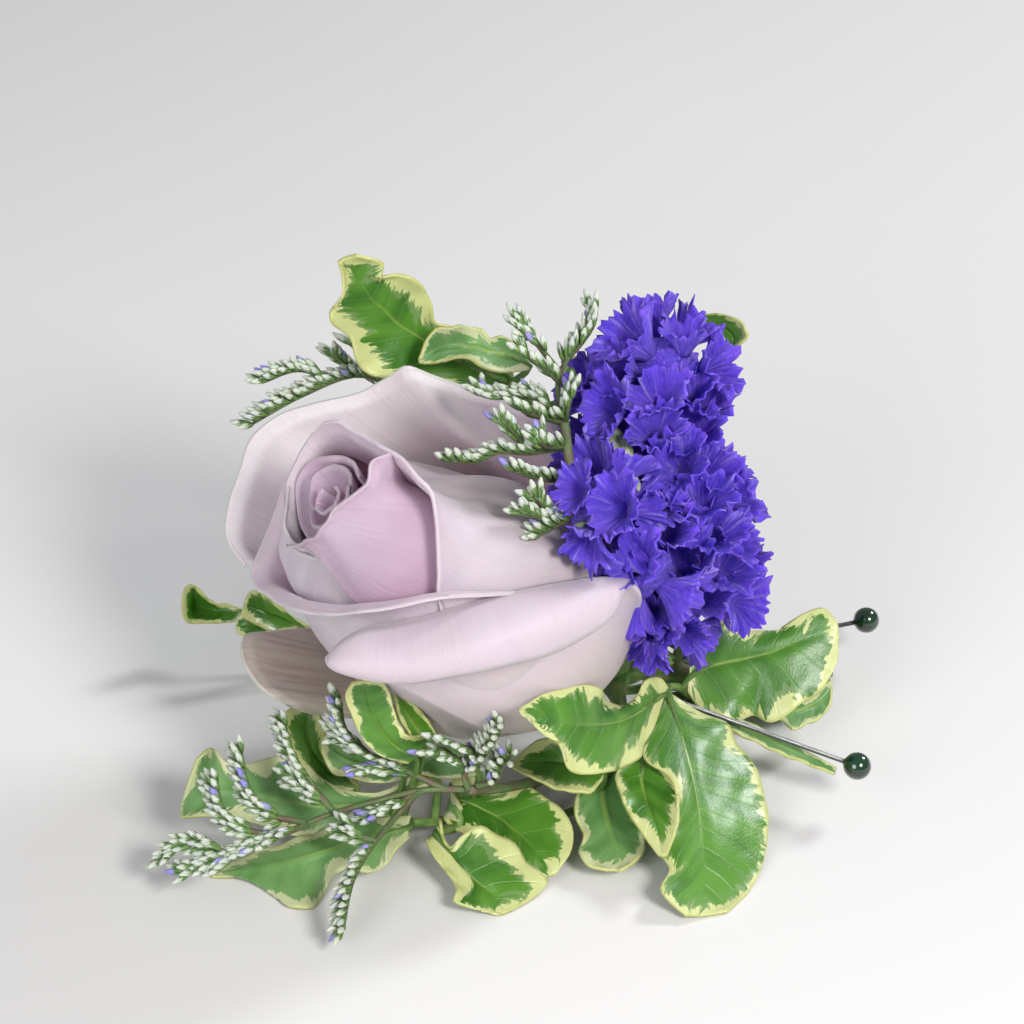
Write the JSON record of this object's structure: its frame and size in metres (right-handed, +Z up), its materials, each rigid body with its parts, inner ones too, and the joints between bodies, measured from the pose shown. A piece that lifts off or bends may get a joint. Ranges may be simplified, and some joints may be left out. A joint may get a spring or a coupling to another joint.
{
  "type": "boutonniere",
  "caption": "Lapel flower lying flat: lavender rose bloom with violet statice, white caspia and cream edged leaves, stems bound in green tape, with round headed pins.",
  "frame": {"origin": "middle of the whole bounding box, on the surface it lies on", "axes": "+X towards the cut stems and pin heads, +Z up from the surface it lies on"},
  "size_m": [0.1068, 0.0772, 0.0736],
  "materials": {
    "rose_petal": "soft satin lavender petal, cream towards its foot, with fine veins",
    "stem_green": "fresh green stem",
    "statice_petal": "dry papery violet blue floret",
    "variegated_leaf": "glossy green leaf with a cream margin",
    "floral_tape": "waxy matt green crepe tape",
    "caspia_bud": "small white buds on green twigs",
    "pin_steel": "thin bright steel wire",
    "pin_head_green": "glossy dark green round head"
  },
  "bodies": {
    "root": {"rose_bloom": "rose_petal", "rose_stem": "stem_green", "statice_bloom": "statice_petal", "statice_stem": "stem_green", "leaves_right": "variegated_leaf", "leaves_front": "variegated_leaf", "leaves_left": "variegated_leaf", "leaves_low": "variegated_leaf", "leaves_back": "variegated_leaf", "stem_tape": "floral_tape", "caspia_front": "caspia_bud", "caspia_top": "caspia_bud", "caspia_back": "caspia_bud", "pin_1_shaft": "pin_steel", "pin_1_head": "pin_head_green", "pin_2_shaft": "pin_steel", "pin_2_head": "pin_head_green"}
  },
  "joints": []
}
